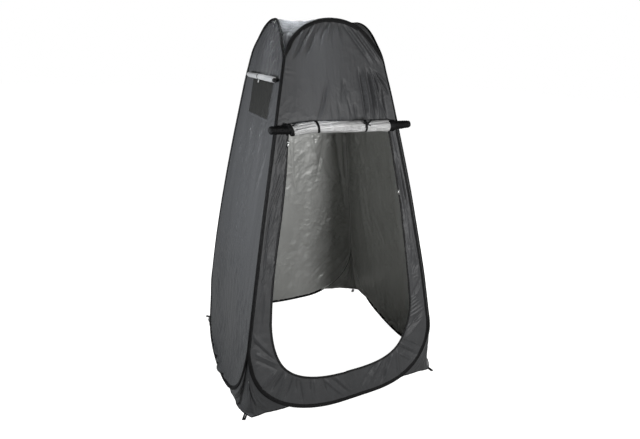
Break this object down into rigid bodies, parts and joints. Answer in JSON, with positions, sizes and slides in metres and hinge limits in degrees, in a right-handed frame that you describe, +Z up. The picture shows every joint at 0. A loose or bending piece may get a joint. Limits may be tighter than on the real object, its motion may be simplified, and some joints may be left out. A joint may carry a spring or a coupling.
{
  "type": "pop-up changing tent",
  "caption": "Tall pop-up changing tent with sprung wire loops, open doorway with the door rolled up, net side windows, lined roof and pegged corner gussets.",
  "frame": {"origin": "on the ground in the middle of the tent", "axes": "+Z up, -Y out of the doorway, +X to the right seen from the front"},
  "size_m": [1.1812, 1.1812, 1.8994],
  "materials": {
    "shell_cloth": "thin coated polyester, slightly glossy, grey",
    "silver_lining": "silver coated lining, soft sheen",
    "sleeve_cloth": "black binding tape, matt",
    "window_net": "fine dark net",
    "webbing": "black woven webbing",
    "zip_metal": "nickel coloured, glossy",
    "toggle_plastic": "pale grey, satin"
  },
  "bodies": {
    "root": {"front_frame_loop": "sleeve_cloth", "right_frame_loop": "sleeve_cloth", "back_frame_loop": "sleeve_cloth", "left_frame_loop": "sleeve_cloth", "front_header_panel": "shell_cloth", "front_left_jamb": "shell_cloth", "front_right_jamb": "shell_cloth", "front_sill_panel": "shell_cloth", "front_door_zip": "sleeve_cloth", "zip_slider_left": "zip_metal", "zip_slider_right": "zip_metal", "door_roll": "silver_lining", "door_roll_left_end": "sleeve_cloth", "door_roll_right_end": "sleeve_cloth", "door_strap_left": "webbing", "door_strap_right": "webbing", "left_panel": "shell_cloth", "left_window_net": "window_net", "left_window_flap": "silver_lining", "left_window_flap_end": "sleeve_cloth", "left_window_strap": "webbing", "left_window_toggle": "toggle_plastic", "right_panel": "shell_cloth", "right_window_net": "window_net", "right_window_flap": "silver_lining", "right_window_flap_end": "sleeve_cloth", "right_window_strap": "webbing", "right_window_toggle": "toggle_plastic", "back_panel": "shell_cloth", "roof_panel": "silver_lining", "front_right_gusset": "shell_cloth", "back_right_gusset": "shell_cloth", "back_left_gusset": "shell_cloth", "front_left_gusset": "shell_cloth", "front_right_peg_loop": "webbing", "back_right_peg_loop": "webbing", "back_left_peg_loop": "webbing", "front_left_peg_loop": "webbing"}
  },
  "joints": []
}
